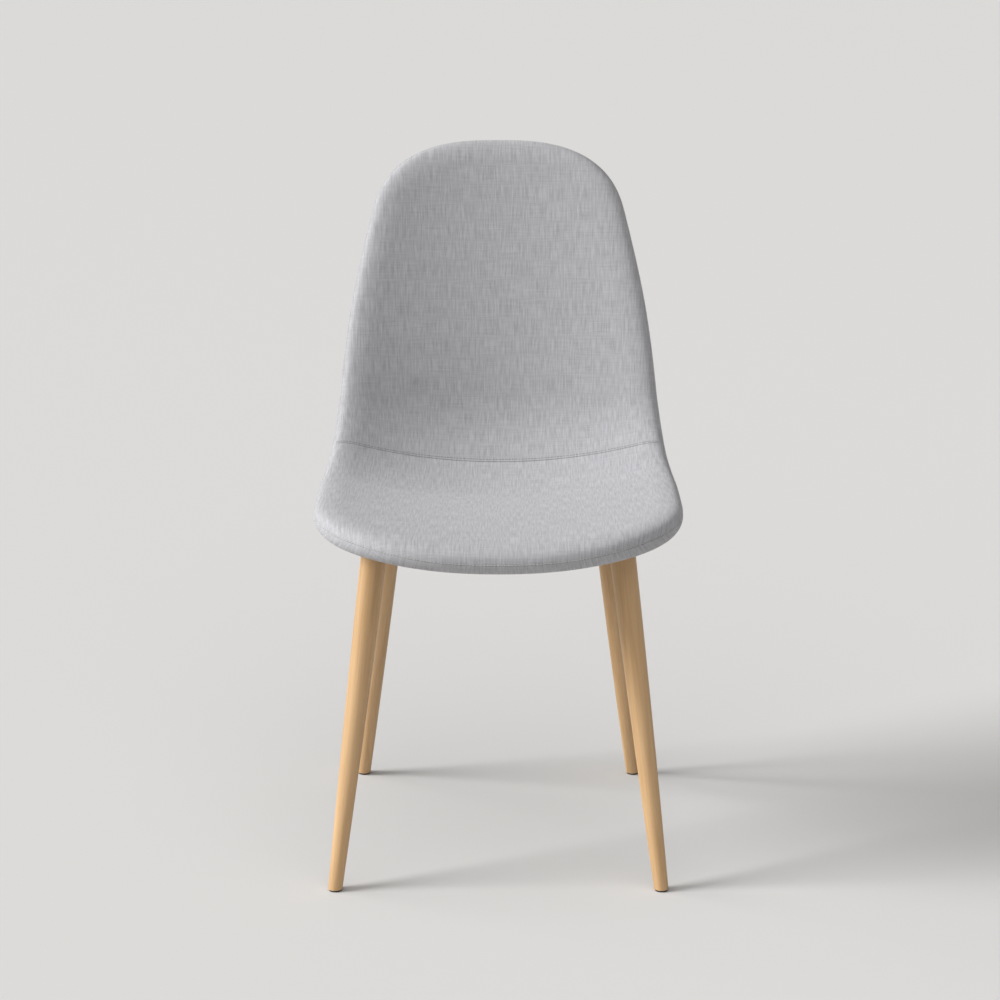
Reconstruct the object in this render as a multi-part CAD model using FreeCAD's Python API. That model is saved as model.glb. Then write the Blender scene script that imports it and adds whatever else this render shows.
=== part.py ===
import FreeCAD, Part
import math
import os

# Upholstered scoop chair: a padded one-piece shell on a hidden steel frame and four splayed wooden legs.
# Millimetres and degrees, +Z up, the sitter faces -Y, origin on the floor under the middle of the chair.

# Side profile of the shell's upper face, from the front lip to the top of the back.
lip_height = 429.0
lip_angle = 8.0
lip_radius = 180.0
seat_fall = 4.0
seat_run = 237.6
bend_radius = 158.0
back_recline = 12.9
back_run = 334.0

# Outline across the profile: widths over the rim, and the rounding of the lip and of the top.
seat_width = 451.0
waist_width = 427.0
back_width = 382.0
shoulder_width = 283.0
widest_at = 267.0
lip_round_run = 174.0
lip_round_power = 2.65
top_round_run = 98.0
top_round_power = 2.69

# Hollow of the scoop: radius of the cross-section along the profile.
seat_hollow = 1062.0
waist_hollow = 458.0
back_hollow = 519.0
top_hollow = 608.0

# Upholstery: layers, crowns of the padding and the seam across the waist.
shell_thickness = 9.0
wadding = 5.2
cloth = 1.2
layer_gap = 0.3
front_roll = 18.0
nose_flat = 1.0
lip_pad = 20.0
seat_crown = 26.0
waist_pad = 23.0
back_crown = 23.0
top_pad = 18.0
seam_angle = 38.6
seam_dip = 1.5
seam_reach = 22.0
listing_thickness = 1.2

# Fabric opening under the seat and the dust cover that closes it.
opening_width = 210.0
opening_front = -150.0
opening_rear = 60.0
opening_corner = 25.0
dust_overlap = 15.0
dust_gap = 0.7
dust_thickness = 0.8

# Legs: round, tapered with a slight swell, splayed outwards, forwards and backwards.
front_foot_spread = 402.0
front_foot_y = -215.0
front_top_spread = 303.0
front_top_y = -150.0
rear_foot_spread = 368.0
rear_foot_y = 205.5
rear_top_spread = 272.0
rear_top_y = 100.0
front_head_room = 2.5
rear_head_room = 15.0
leg_top_diameter = 32.0
leg_foot_diameter = 17.5
leg_swell = 1.6

# Glides under the legs.
glide_diameter = 15.5
glide_height = 2.5
glide_edge = 0.6
spigot_diameter = 4.0
spigot_length = 14.0

# Steel frame: two cranked cross bars and two side rails of rectangular tube.
bar_width = 30.0
bar_thickness = 5.0
tab_outer = 15.0
tab_inner = 22.0
knee_margin = 3.0
rail_drop = 39.5
rail_height = 10.0
rail_width = 20.0
rail_wall = 1.5
rail_spacing = 90.0

# Fixings between frame and shell: bolts up through the rails into tee nuts.
fixing_front_y = -105.0
fixing_rear_y = 25.0
frame_bolt = 6.0
frame_head = 10.0
frame_head_height = 4.0
frame_washer = 14.0
frame_washer_height = 1.2
tee_flange = 18.0
tee_flange_height = 1.5
tee_barrel = 9.0
tee_barrel_length = 5.0
tee_depth = 3.0
spacer_diameter = 22.0

# Fixings between leg and frame: a bolt down through the tab into a threaded insert.
leg_bolt = 8.0
leg_bolt_reach = 22.0
leg_head = 14.0
leg_head_height = 4.4
leg_washer = 18.0
leg_washer_height = 1.6
insert_diameter = 12.0
insert_length = 25.0

# Clearances: running fit round shanks and in bores, and a loose hole.
fit = 0.1
loose = 0.3

rail_level = lip_height - rail_drop
rear_roll = shell_thickness + wadding + cloth + 2 * layer_gap
lining = cloth + layer_gap
over = 6.0


def nose_step(width, run, power):
    """Distance from a rounded end at which the outline is just wide enough for both rolled edges."""
    nose_share = (front_roll + nose_flat) / (width / 2)
    return run * (1 - (1 - nose_share ** power) ** (1 / power))


# The padding ends there, at the lip as at the top.
end_step = max(
    nose_step(seat_width, lip_round_run, lip_round_power),
    nose_step(shoulder_width, top_round_run, top_round_power),
)

# Where the sections of the lofts stand: turns of the rounded ends, and spans of the stretches between.
turn_angles = (7, 14, 22, 32, 43, 55, 67, 79, 90)
seam_shares = (-0.5, 0.5, 1)
seat_spans = 3
bend_spans = 4
back_spans = 6
dust_spans = 6

Vector = FreeCAD.Vector
UP = Vector(0, 0, 1)


def cos(angle):
    return math.cos(math.radians(angle))


def sin(angle):
    return math.sin(math.radians(angle))


def through(knots, at):
    """Value at a station on the smooth curve through (station, value) knots."""
    last = len(knots) - 1
    index = 0
    while index < last - 1 and at > knots[index + 1][0]:
        index += 1

    def slope(k):
        low, high = knots[max(k - 1, 0)], knots[min(k + 1, last)]
        return (high[1] - low[1]) / (high[0] - low[0])

    (start, first), (stop, second) = knots[index], knots[index + 1]
    span = stop - start
    t = (at - start) / span
    return (
        (2 * t ** 3 - 3 * t ** 2 + 1) * first
        + (t ** 3 - 2 * t ** 2 + t) * span * slope(index)
        + (3 * t ** 2 - 2 * t ** 3) * second
        + (t ** 3 - t ** 2) * span * slope(index + 1)
    )


# Stretches of the side profile as (length, first angle, last angle).
back_angle = 90 - back_recline
stretches = [
    (lip_radius * math.radians(lip_angle + seat_fall), lip_angle, -seat_fall),
    (seat_run, -seat_fall, -seat_fall),
    (bend_radius * math.radians(back_angle + seat_fall), -seat_fall, back_angle),
    (back_run, back_angle, back_angle),
]
profile_length = sum(stretch[0] for stretch in stretches)
bend_start = stretches[0][0] + seat_run
bend_end = profile_length - back_run
seam_at = bend_start + bend_radius * math.radians(seam_angle + seat_fall)
mid_back = (seam_at + profile_length) / 2


def along(at):
    """Forward and upward run of the profile from the lip, and its angle, at a station."""
    y, z = 0.0, 0.0
    for length, first, last in stretches:
        run = min(at, length)
        angle = first + (last - first) * run / length
        if first == last:
            y += run * cos(first)
            z += run * sin(first)
        else:
            radius = length / math.radians(last - first)
            y += radius * (sin(angle) - sin(first))
            z += radius * (cos(first) - cos(angle))
        at -= run
        if at <= 0:
            break
    return y, z, angle


front_reach = front_roll * (1 - cos(lip_angle))
rear_reach = rear_roll * (1 - sin(back_recline))
scoop_depth = front_reach + along(profile_length)[0] + rear_reach
lip_y = front_reach - scoop_depth / 2


def rounding(distance, run, power):
    """Share of the full width at a distance from a rounded end."""
    t = min(max(1 - distance / run, 0), 1)
    return (1 - t ** power) ** (1 / power)


def half_width(at, inset):
    """Half the outline's width at a station, for an outline moved in by an inset."""
    knots = [
        (0, seat_width / 2),
        (widest_at, seat_width / 2),
        (seam_at, waist_width / 2),
        (mid_back, back_width / 2),
        (profile_length, shoulder_width / 2),
    ]
    lip = rounding(at - inset, lip_round_run - inset, lip_round_power)
    top = rounding(profile_length - inset - at, top_round_run - inset, top_round_power)
    return (through(knots, at) - inset) * lip * top


def hollow(at):
    knots = [
        (0, seat_hollow),
        (seam_at, waist_hollow),
        (mid_back, back_hollow),
        (profile_length, top_hollow),
    ]
    return through(knots, at)


def crown(at):
    """Thickness of the front padding on the centre line, drawn in at the waist seam."""
    knots = [
        (0, lip_pad),
        (bend_start / 2, seat_crown),
        (seam_at, waist_pad),
        (mid_back, back_crown),
        (profile_length, top_pad),
    ]
    pull = max(0, 1 - abs(at - seam_at) / seam_reach) ** 2
    return through(knots, at) - seam_dip * pull


class Station:
    """Plane across the profile: x to the right, n out of the shell towards the sitter."""

    def __init__(self, at, inset=0.0):
        y, z, angle = along(at)
        self.at = at
        self.inset = inset
        self.origin = Vector(0, lip_y + y, lip_height + z)
        self.tangent = Vector(0, cos(angle), sin(angle))
        self.normal = Vector(0, -sin(angle), cos(angle))
        self.radius = hollow(at)
        self.half = half_width(at, inset)
        self.edge = math.asin(self.half / self.radius)
        self.end = min(at, profile_length - at)

    def point(self, x, n):
        return self.origin + Vector(x, 0, 0) + self.normal * n

    def ring(self, theta, n):
        """Point at an angle round the hollow, a height n above the shell's upper face."""
        reach = self.radius - n
        return self.point(reach * math.sin(theta), self.radius - reach * math.cos(theta))

    def roll(self, side, roll, phi):
        """Point on the rolled edge: phi 0 on the rim, 90 where the roll meets the broad face."""
        turn = roll - self.inset
        rise = self.rise(roll)
        along_edge = turn * (cos(phi) - 1)
        across = rise * sin(phi)
        c, s = math.cos(self.edge), math.sin(self.edge)
        bow = self.radius * (1 - c)
        x = self.half + along_edge * c - across * s
        n = bow + along_edge * s + across * c
        return self.point(side * x, n)

    def rise(self, roll):
        """Height of the rolled edge, which thins out towards the lip and the top."""
        turn = roll - self.inset
        if self.end >= roll:
            return turn
        return math.sqrt(turn ** 2 - (roll - self.end) ** 2)


def arc(first, middle, last):
    return Part.Arc(first, middle, last).toShape()


def line(first, last):
    return Part.LineSegment(first, last).toShape()


def turned(run, power, inset):
    """Distances from a rounded end at which its outline has turned by each of the turn angles."""
    shares = [1 - cos(angle) ** (2 / power) for angle in turn_angles]
    return [inset + (run - inset) * share for share in shares]


def spread(first, last, spans):
    return [first + (last - first) * k / spans for k in range(1, spans + 1)]


def stations(start, stop, inset=0.0):
    """Stations from start to stop, close together where the outline, the profile or the seam turns."""
    places = spread(lip_round_run, bend_start, seat_spans)
    places += spread(bend_start, seam_at - seam_reach, bend_spans)
    places += [seam_at + share * seam_reach for share in seam_shares]
    places += spread(seam_at + seam_reach, bend_end, bend_spans)
    places += spread(bend_end, profile_length - top_round_run, back_spans)
    places += turned(lip_round_run, lip_round_power, inset)
    places += [profile_length - place for place in turned(top_round_run, top_round_power, inset)]
    kept = [start]
    for place in sorted(places):
        if kept[-1] + end_step < place < stop - end_step:
            kept.append(place)
    return [Station(place, inset) for place in kept + [stop]]


def loft(wires):
    return Part.makeLoft(wires, True, False)


def front_section(station, base):
    """Half lens in front of the shell, from a base height up to the crowned face."""
    low = math.degrees(math.asin(base / station.rise(front_roll)))
    middle = (90 + low) / 2
    share = station.rise(front_roll) / (front_roll - station.inset)
    top = station.point(0, (crown(station.at) - station.inset) * share)
    right = [station.roll(1, front_roll, phi) for phi in (low, middle, 90)]
    left = [station.roll(-1, front_roll, phi) for phi in (90, middle, low)]
    return Part.Wire([
        arc(*right),
        arc(right[2], top, left[0]),
        arc(*left),
        arc(left[2], station.point(0, base), right[0]),
    ])


def rear_section(station, base):
    """Half lens behind the shell, from a base height down to the rolled rear face."""
    rise = station.rise(rear_roll)
    low = math.degrees(math.asin(base / rise))
    middle = (low - 90) / 2
    right = [station.roll(1, rear_roll, phi) for phi in (low, middle, -90)]
    left = [station.roll(-1, rear_roll, phi) for phi in (-90, middle, low)]
    return Part.Wire([
        arc(*right),
        arc(right[2], station.point(0, -rise), left[0]),
        arc(*left),
        arc(left[2], station.point(0, base), right[0]),
    ])


def band_section(station, half, top, bottom):
    """Strip that follows the hollow between two heights, of a half width along the arc."""
    theta = half / station.radius
    corners = [
        station.ring(theta, top),
        station.ring(-theta, top),
        station.ring(-theta, bottom),
        station.ring(theta, bottom),
    ]
    return Part.Wire([
        arc(corners[0], station.ring(0, top), corners[1]),
        line(corners[1], corners[2]),
        arc(corners[2], station.ring(0, bottom), corners[3]),
        line(corners[3], corners[0]),
    ])


def front_lens(start, stop, inset, base):
    return loft([front_section(station, base) for station in stations(start, stop, inset)])


def rear_lens(start, stop, inset, base):
    return loft([rear_section(station, base) for station in stations(start, stop, inset)])


def at_waist(make_half, start, stop):
    """One solid of two halves that meet on the plane of the waist."""
    return make_half(start, seam_at).fuse(make_half(seam_at, stop))


def seat_place(x, y):
    """Point of the shell's upper face above a place under the seat."""
    low, high = 0.0, seam_at
    for _ in range(50):
        middle = (low + high) / 2
        station = Station(middle)
        found = station.ring(math.asin(x / station.radius), 0)
        if found.y < y:
            low = middle
        else:
            high = middle
    return found, low


def cylinder(diameter, height, base, direction=UP):
    return Part.makeCylinder(diameter / 2, height, base, direction)


# Height of the rail's top and bottom, and the four places where frame and shell are bolted together.
rail_top = rail_level + rail_height / 2
rail_bottom = rail_level - rail_height / 2
flush = (rail_height - bar_thickness) / 2
fixing_places = [
    seat_place(side * rail_spacing / 2, y)[0]
    for y in (fixing_front_y, fixing_rear_y)
    for side in (-1, 1)
]


def make_shell():
    """Moulded plywood scoop, bored and counterbored for the tee nuts."""
    turn = rear_roll - lining
    inset = rear_roll - math.sqrt(turn ** 2 - shell_thickness ** 2) + layer_gap

    def half(start, stop):
        sections = []
        for station in stations(start, stop, inset):
            reach = station.radius * station.edge
            sections.append(band_section(station, reach, 0, -shell_thickness))
        return loft(sections)

    shell = at_waist(half, inset + end_step, profile_length - inset - end_step)
    for place in fixing_places:
        seat = place - UP * tee_depth
        shell = shell.cut(cylinder(tee_flange + 2 * fit, tee_depth + over, seat))
        bore = seat - UP * (shell_thickness + over)
        shell = shell.cut(cylinder(tee_barrel + 2 * fit, shell_thickness + 2 * over, bore))
    return shell


def make_tee_nuts():
    nuts = []
    for place in fixing_places:
        seat = place - UP * tee_depth
        nut = cylinder(tee_flange, tee_flange_height, seat)
        nut = nut.fuse(cylinder(tee_barrel, tee_barrel_length, seat - UP * tee_barrel_length))
        bore = seat - UP * (tee_barrel_length + over)
        nuts.append(nut.cut(cylinder(frame_bolt + 2 * fit, tee_barrel_length + 3 * over, bore)))
    return Part.makeCompound(nuts)


def make_foam(start, stop):
    return front_lens(start, stop, lining, layer_gap)


def make_front_cover(start, stop, cut_start, cut_stop):
    """Sewn panel of the front cover: the padded form less the foam's room."""
    panel = front_lens(start, stop, 0, layer_gap / 2)
    return panel.cut(front_lens(cut_start, cut_stop, cloth, -layer_gap))


def make_listing():
    """Sewn-in strip that holds the waist seam down against the shell."""
    station = Station(seam_at, lining)
    face = Part.Face(front_section(station, layer_gap))
    face.translate(station.tangent * (-listing_thickness / 2))
    return face.extrude(station.tangent * listing_thickness)


def make_opening(margin):
    """Upright block through the underside of the seat, larger all round by a margin."""
    width = opening_width + 2 * margin
    depth = opening_rear - opening_front + 2 * margin
    corner = Vector(-width / 2, opening_front - margin, rail_level)
    block = Part.makeBox(width, depth, lip_height, corner)
    upright = [edge for edge in block.Edges if abs(edge.tangentAt(edge.FirstParameter).z) > 0.9]
    return block.makeFillet(opening_corner + margin, upright)


def make_outer_cover():
    """Panel behind the back and under the seat, open where the frame is bolted on."""

    def half(start, stop):
        room_start = start if start == seam_at else start + cloth
        room_stop = stop if stop == seam_at else stop - cloth
        skin = rear_lens(start, stop, 0, -layer_gap / 2)
        return skin.cut(rear_lens(room_start, room_stop, cloth, layer_gap))

    return at_waist(half, end_step, profile_length - end_step).cut(make_opening(0))


def make_wadding():
    """Thin padding behind the back and under the seat, short of the lip and the top."""
    turn = rear_roll - lining
    top = shell_thickness + layer_gap
    low = -math.degrees(math.asin(top / turn))
    middle = (low - 90) / 2

    def half(start, stop):
        sections = []
        for station in stations(start, stop, lining):
            right = [station.roll(1, rear_roll, phi) for phi in (low, middle, -90)]
            left = [station.roll(-1, rear_roll, phi) for phi in (-90, middle, low)]
            sections.append(Part.Wire([
                arc(*right),
                arc(right[2], station.point(0, -turn), left[0]),
                arc(*left),
                arc(left[2], station.point(0, -top), right[0]),
            ]))
        return loft(sections)

    return at_waist(half, rear_roll, profile_length - rear_roll).cut(make_opening(0))


def make_dust_cover():
    """Thin sheet stapled under the seat over the opening's edge."""
    top = -rear_roll - dust_gap
    first = seat_place(0, opening_front - dust_overlap)[1]
    last = seat_place(0, opening_rear + dust_overlap)[1]
    half = opening_width / 2 + dust_overlap
    sections = []
    for at in [first] + spread(first, last, dust_spans):
        station = Station(at)
        sections.append(band_section(station, half, top, top - dust_thickness))
    sheet = loft(sections)
    for place in fixing_places:
        hole = Vector(place.x, place.y, rail_top)
        sheet = sheet.cut(cylinder(spacer_diameter + 2 * loose, place.z - rail_top, hole))
    return sheet


def make_spacers():
    """Moulded spacers between the rails and the curved underside of the shell."""
    keep_out = []
    for station in stations(lip_round_run / 2, seam_at):
        keep_out.append(band_section(station, rail_spacing, shell_thickness, -shell_thickness - layer_gap))
    roof = loft(keep_out)
    spacers = []
    for place in fixing_places:
        base = Vector(place.x, place.y, rail_top)
        height = place.z - rail_top
        spacer = cylinder(spacer_diameter, height, base).cut(roof)
        spacers.append(spacer.cut(cylinder(frame_bolt + 2 * loose, height + over, base - UP * loose)))
    return Part.makeCompound(spacers)


def make_frame_bolts():
    bolts = []
    for place in fixing_places:
        seat = Vector(place.x, place.y, rail_bottom - frame_washer_height)
        tip = place.z - tee_depth + tee_flange_height
        bolt = cylinder(frame_bolt, tip - seat.z, seat)
        bolts.append(bolt.fuse(cylinder(frame_head, frame_head_height, seat - UP * frame_head_height)))
    return Part.makeCompound(bolts)


def make_frame_washers():
    washers = []
    for place in fixing_places:
        base = Vector(place.x, place.y, rail_bottom - frame_washer_height)
        hole = cylinder(frame_bolt + 2 * loose, frame_washer_height, base)
        washers.append(cylinder(frame_washer, frame_washer_height, base).cut(hole))
    return Part.makeCompound(washers)


class LegPair:
    """Plane through two legs: x across, v up the slope, w square to it."""

    def __init__(self, foot_spread, foot_y, top_spread, top_y, height):
        self.tilt = math.degrees(math.atan2(top_y - foot_y, height))
        self.origin = Vector(0, foot_y, 0)
        self.up = Vector(0, sin(self.tilt), cos(self.tilt))
        self.back = Vector(0, cos(self.tilt), -sin(self.tilt))
        self.foot_x = foot_spread / 2
        self.top_x = top_spread / 2
        self.top_v = height / cos(self.tilt)
        self.splay = math.degrees(math.atan2(self.foot_x - self.top_x, self.top_v))
        self.length = math.hypot(self.foot_x - self.top_x, self.top_v)

    def point(self, x, v, w=0.0):
        return self.origin + Vector(x, 0, 0) + self.up * v + self.back * w

    def foot(self, side):
        return self.point(side * self.foot_x, 0)

    def top(self, side):
        return self.point(side * self.top_x, self.top_v)

    def axis(self, side):
        return (self.top(side) - self.foot(side)).normalize()

    def bar_level(self):
        """Height up the slope of the bar's middle plane, its top level with the rails' where they meet it."""
        drop = bar_width / 2 * abs(sin(self.tilt))
        return (rail_level + flush + drop) / cos(self.tilt)

    def bar_edge(self, side):
        """Place on the centre line where a rail meets the bar, on the rear or the front edge."""
        return self.point(0, self.bar_level(), side * bar_width / 2)


def leg_height(top_spread, top_y, head_room):
    """Height of the legs' tops that leaves room for tab, washer and bolt head under the seat."""
    under_seat = seat_place(top_spread / 2, top_y)[0].z - rear_roll
    return under_seat - bar_thickness - leg_washer_height - leg_head_height - head_room


front_leg_height = leg_height(front_top_spread, front_top_y, front_head_room)
rear_leg_height = leg_height(rear_top_spread, rear_top_y, rear_head_room)
front_pair = LegPair(front_foot_spread, front_foot_y, front_top_spread, front_top_y, front_leg_height)
rear_pair = LegPair(rear_foot_spread, rear_foot_y, rear_top_spread, rear_top_y, rear_leg_height)


def crossing(first, second):
    """Meeting point of two lines, each a point and a direction in the plane of a bar."""
    (px, pv), (dx, dv) = first
    (qx, qv), (ex, ev) = second
    step = ((qx - px) * ev - (qv - pv) * ex) / (dx * ev - dv * ex)
    return px + dx * step, pv + dv * step


def bar_side(pair, rise):
    """Right half of a bar's face, outer end first: tab, crank and centre, at a rise over the underside."""
    c, s = cos(pair.splay), sin(pair.splay)
    base_v = pair.bar_level() - bar_thickness / 2
    inner = (pair.top_x - tab_inner * c, pair.top_v - tab_inner * s)
    knee = (rail_spacing / 2 + rail_width / 2 + knee_margin, base_v)
    slope = math.atan2(inner[1] - knee[1], inner[0] - knee[0])
    slope_c, slope_s = math.cos(slope), math.sin(slope)
    tab = ((pair.top_x - s * rise, pair.top_v + c * rise), (c, s))
    crank = ((knee[0] - slope_s * rise, knee[1] + slope_c * rise), (slope_c, slope_s))
    flat = ((0.0, base_v + rise), (1.0, 0.0))
    outer = (tab[0][0] + tab_outer * c, tab[0][1] + tab_outer * s)
    return [outer, crossing(tab, crank), crossing(crank, flat)]


def make_cross_bar(pair):
    """Flat steel bar, cranked so that each end lies square on top of its leg."""
    under = bar_side(pair, 0.0)
    upper = bar_side(pair, bar_thickness)
    mirrored = [(-x, v) for x, v in reversed(under)]
    mirrored_upper = [(-x, v) for x, v in upper]
    outline = under + mirrored + mirrored_upper + upper[::-1]
    corners = [pair.point(x, v, -bar_width / 2) for x, v in outline]
    bar = Part.Face(Part.makePolygon(corners + corners[:1])).extrude(pair.back * bar_width)
    for side in (-1, 1):
        base = pair.top(side) - pair.axis(side) * over
        bar = bar.cut(cylinder(leg_bolt + 2 * loose, bar_thickness + 2 * over, base, pair.axis(side)))
    return bar


def rail_prism(width, height, centre_x, overrun):
    """Straight prism between the two cross bars with its ends cut to the bars' edges."""
    front, rear = front_pair.bar_edge(1), rear_pair.bar_edge(-1)
    corners = []
    for edge, pair, way, run in (
        (front, front_pair, -1, -overrun),
        (front, front_pair, 1, -overrun),
        (rear, rear_pair, 1, overrun),
        (rear, rear_pair, -1, overrun),
    ):
        rise = way * height / 2
        lean = (rise - flush) * math.tan(math.radians(pair.tilt))
        corners.append(Vector(centre_x - width / 2, edge.y + lean + run, rail_level + rise))
    return Part.Face(Part.makePolygon(corners + corners[:1])).extrude(Vector(width, 0, 0))


def make_side_rail(side):
    centre_x = side * rail_spacing / 2
    rail = rail_prism(rail_width, rail_height, centre_x, 0)
    hollow_room = rail_prism(rail_width - 2 * rail_wall, rail_height - 2 * rail_wall, centre_x, over)
    rail = rail.cut(hollow_room)
    for place in fixing_places:
        if place.x * side > 0:
            base = Vector(place.x, place.y, rail_bottom - over)
            rail = rail.cut(cylinder(frame_bolt + 2 * loose, rail_height + 2 * over, base))
    return rail


def make_leg(pair, side):
    """Turned leg: swelling taper, foot cut level, bored for the insert and the glide."""
    top_r, foot_r = leg_top_diameter / 2, leg_foot_diameter / 2
    middle_r = (top_r + foot_r + leg_swell) / 2
    top, foot = Vector(top_r, 0, pair.length), Vector(foot_r, 0, 0)
    axis_top = Vector(0, 0, pair.length)
    origin = Vector(0, 0, 0)
    half = Part.Wire([
        line(origin, foot),
        arc(foot, Vector(middle_r, 0, pair.length / 2), top),
        line(top, axis_top),
        line(axis_top, origin),
    ])
    leg = Part.Face(half).revolve(origin, UP, 360)
    leg.Placement = FreeCAD.Placement(pair.foot(side), FreeCAD.Rotation(UP, pair.axis(side)))
    floor_room = leg_foot_diameter * 2
    corner = pair.foot(side) - Vector(floor_room / 2, floor_room / 2, floor_room - glide_height)
    leg = leg.cut(Part.makeBox(floor_room, floor_room, floor_room, corner))
    axis = pair.axis(side)
    insert_room = insert_length + layer_gap
    leg = leg.cut(cylinder(insert_diameter + 2 * fit, insert_room, pair.top(side) - axis * insert_room, axis))
    spigot_room = spigot_length + layer_gap
    return leg.cut(cylinder(spigot_diameter + 2 * fit, spigot_room, glide_place(pair, side)))


def glide_place(pair, side):
    """Centre of the leg's cut foot."""
    axis = pair.axis(side)
    return pair.foot(side) + axis * (glide_height / axis.z)


def make_glide(pair, side):
    """Moulded disc with a spigot that is driven into the leg."""
    seat = glide_place(pair, side)
    disc = cylinder(glide_diameter, glide_height, seat - UP * glide_height)
    rim = [edge for edge in disc.Edges if edge.BoundBox.ZMax < glide_height / 2 and edge.Closed]
    disc = disc.makeFillet(glide_edge, rim)
    return disc.fuse(cylinder(spigot_diameter, spigot_length, seat))


leg_ends = [(pair, side) for pair in (front_pair, rear_pair) for side in (-1, 1)]


def make_leg_inserts():
    inserts = []
    for pair, side in leg_ends:
        axis = pair.axis(side)
        base = pair.top(side) - axis * insert_length
        bore = cylinder(leg_bolt + 2 * fit, insert_length, base, axis)
        inserts.append(cylinder(insert_diameter, insert_length, base, axis).cut(bore))
    return Part.makeCompound(inserts)


def make_leg_bolts():
    bolts = []
    for pair, side in leg_ends:
        axis = pair.axis(side)
        head = pair.top(side) + axis * (bar_thickness + leg_washer_height)
        shank_length = leg_bolt_reach + bar_thickness + leg_washer_height
        shank = cylinder(leg_bolt, shank_length, head - axis * shank_length, axis)
        bolts.append(shank.fuse(cylinder(leg_head, leg_head_height, head, axis)))
    return Part.makeCompound(bolts)


def make_leg_washers():
    washers = []
    for pair, side in leg_ends:
        axis = pair.axis(side)
        base = pair.top(side) + axis * bar_thickness
        hole = cylinder(leg_bolt + 2 * loose, leg_washer_height, base, axis)
        washers.append(cylinder(leg_washer, leg_washer_height, base, axis).cut(hole))
    return Part.makeCompound(washers)


seam_before = seam_at - layer_gap / 2
seam_after = seam_at + layer_gap / 2
foam_before = seam_at - listing_thickness / 2 - 2 * layer_gap
foam_after = seam_at + listing_thickness / 2 + 2 * layer_gap
top_end = profile_length - end_step

nodes = {
    "moulded_shell": make_shell(),
    "shell_tee_nuts": make_tee_nuts(),
    "seat_foam": make_foam(lining + end_step, foam_before),
    "back_foam": make_foam(foam_after, top_end - lining),
    "waist_listing": make_listing(),
    "seat_cover": make_front_cover(end_step, seam_before, cloth + end_step, seam_at + over),
    "inner_back_cover": make_front_cover(seam_after, top_end, seam_at - over, top_end - cloth),
    "outer_wadding": make_wadding(),
    "outer_cover": make_outer_cover(),
    "dust_cover": make_dust_cover(),
    "front_cross_bar": make_cross_bar(front_pair),
    "rear_cross_bar": make_cross_bar(rear_pair),
    "left_side_rail": make_side_rail(-1),
    "right_side_rail": make_side_rail(1),
    "seat_spacers": make_spacers(),
    "frame_bolts": make_frame_bolts(),
    "frame_washers": make_frame_washers(),
    "leg_inserts": make_leg_inserts(),
    "leg_bolts": make_leg_bolts(),
    "leg_washers": make_leg_washers(),
}
for pair, place in ((front_pair, "front"), (rear_pair, "rear")):
    for side, hand in ((-1, "left"), (1, "right")):
        nodes["leg_" + place + "_" + hand] = make_leg(pair, side)
        nodes["glide_" + place + "_" + hand] = make_glide(pair, side)

os.makedirs("parts", exist_ok=True)
for name, shape in nodes.items():
    shape.exportStep("parts/" + name + ".step")
    print(name, len(shape.Solids), "solids", round(shape.Volume / 1000, 2), "cm3", shape.isValid())
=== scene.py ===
"""Looks of the upholstered scoop chair, built around its packed construction."""

import math

import bmesh
import bpy
import numpy as np
from bpy.props import FloatProperty, FloatVectorProperty, IntProperty, PointerProperty
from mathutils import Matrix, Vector
from mathutils.bvhtree import BVHTree


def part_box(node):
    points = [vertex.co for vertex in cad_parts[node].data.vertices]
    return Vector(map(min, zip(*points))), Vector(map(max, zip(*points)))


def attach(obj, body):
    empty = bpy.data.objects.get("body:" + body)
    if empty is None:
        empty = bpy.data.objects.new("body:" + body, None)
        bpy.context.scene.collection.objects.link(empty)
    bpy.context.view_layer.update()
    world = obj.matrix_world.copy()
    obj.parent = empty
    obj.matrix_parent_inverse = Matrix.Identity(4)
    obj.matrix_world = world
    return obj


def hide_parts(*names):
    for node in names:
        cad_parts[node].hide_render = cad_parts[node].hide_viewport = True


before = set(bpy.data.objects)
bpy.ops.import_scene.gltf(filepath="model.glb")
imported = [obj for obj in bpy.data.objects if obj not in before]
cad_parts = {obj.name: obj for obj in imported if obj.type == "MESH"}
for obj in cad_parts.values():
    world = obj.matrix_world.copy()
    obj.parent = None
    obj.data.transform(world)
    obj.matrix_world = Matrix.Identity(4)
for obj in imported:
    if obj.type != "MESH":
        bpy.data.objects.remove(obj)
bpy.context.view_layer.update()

bl_info = {
    "name": "Upholstered scoop chair",
    "version": (1, 0, 0),
    "blender": (4, 5, 0),
    "location": "3D View > Sidebar > Chair",
    "description": "Padded scoop, seams, staples, wooden legs and stage of a side chair",
    "category": "Object",
}

BODY = "root"
MM = 0.001
ROLL_STEPS = np.radians([2.5, 6, 14, 24, 36, 49, 62, 76])
HELD_TURN = math.radians(50)
TUCKED_SHARE = 0.16
WALL_STEPS = (0.75, 0.45, 0.15)
BASE_HEIGHT = 0.3 * MM
RIM_GAP = 0.06 * MM
SEAM_GAP = 0.06 * MM
SEAM_ROWS = np.array([0.0, 0.1, 0.3, 0.6, 0.9, 1.8, 3.8, 7.0, 12.0]) * MM
SEAM_HOLD = 6 * MM
COVER_THICKNESS = 1.2 * MM
WADDING_THICKNESS = 5.2 * MM
WADDING_START = 6 * MM
WADDING_RISE = 10 * MM
PROFILE_STEP = 0.5 * MM
CORNER_POWER = 7.0
YARN_PITCH = 1.1 * MM
DUST_GAP = 0.7 * MM
DUST_HANG = 1.2 * MM
DUST_THICKNESS = 0.8 * MM
STAPLE_INSET = 7 * MM
BELOW_SEAT = 0.3
MIRROR = np.array([-1.0, 1.0])
GATHERED = 1.3
GATHER_START = (0, 0.2, 0.5)
STITCH_GAP = 0.3 * MM
STITCH_LIFT = 0.2 * MM
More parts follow.
